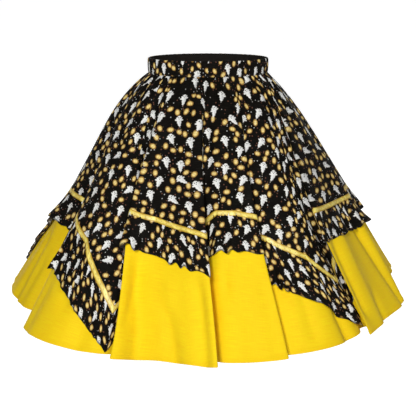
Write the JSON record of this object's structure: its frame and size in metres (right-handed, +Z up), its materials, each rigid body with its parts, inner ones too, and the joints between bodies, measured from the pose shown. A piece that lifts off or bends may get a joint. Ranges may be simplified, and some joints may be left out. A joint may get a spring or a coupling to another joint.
{
  "type": "square dance skirt",
  "caption": "Flared full skirt on an elastic waist: a print overskirt with hanging corners, ruffles and ribbon over a longer plain skirt.",
  "frame": {"origin": "middle of the waist opening, half way up the waistband", "axes": "+Z up out of the waist; the front faces -Y; +X is to the viewer's right, the wearer's left"},
  "size_m": [0.8533, 0.7914, 0.5209],
  "materials": {
    "print": "plain-weave cotton, near black, printed all over with small pale ghosts, gold pumpkins and dots",
    "yellow": "bright yellow plain-weave cotton with a faint crosswise slub",
    "ribbon": "narrow gold satin ribbon with a soft shine and a row of small dots"
  },
  "bodies": {
    "root": {"waistband": "print", "underskirt_front": "yellow", "overskirt_front": "print", "ruffle_front": "print", "ribbon_front": "ribbon", "underskirt_right": "yellow", "overskirt_right": "print", "ruffle_right": "print", "ribbon_right": "ribbon", "underskirt_back": "yellow", "overskirt_back": "print", "ruffle_back": "print", "ribbon_back": "ribbon", "underskirt_left": "yellow", "overskirt_left": "print", "ruffle_left": "print", "ribbon_left": "ribbon"}
  },
  "joints": []
}
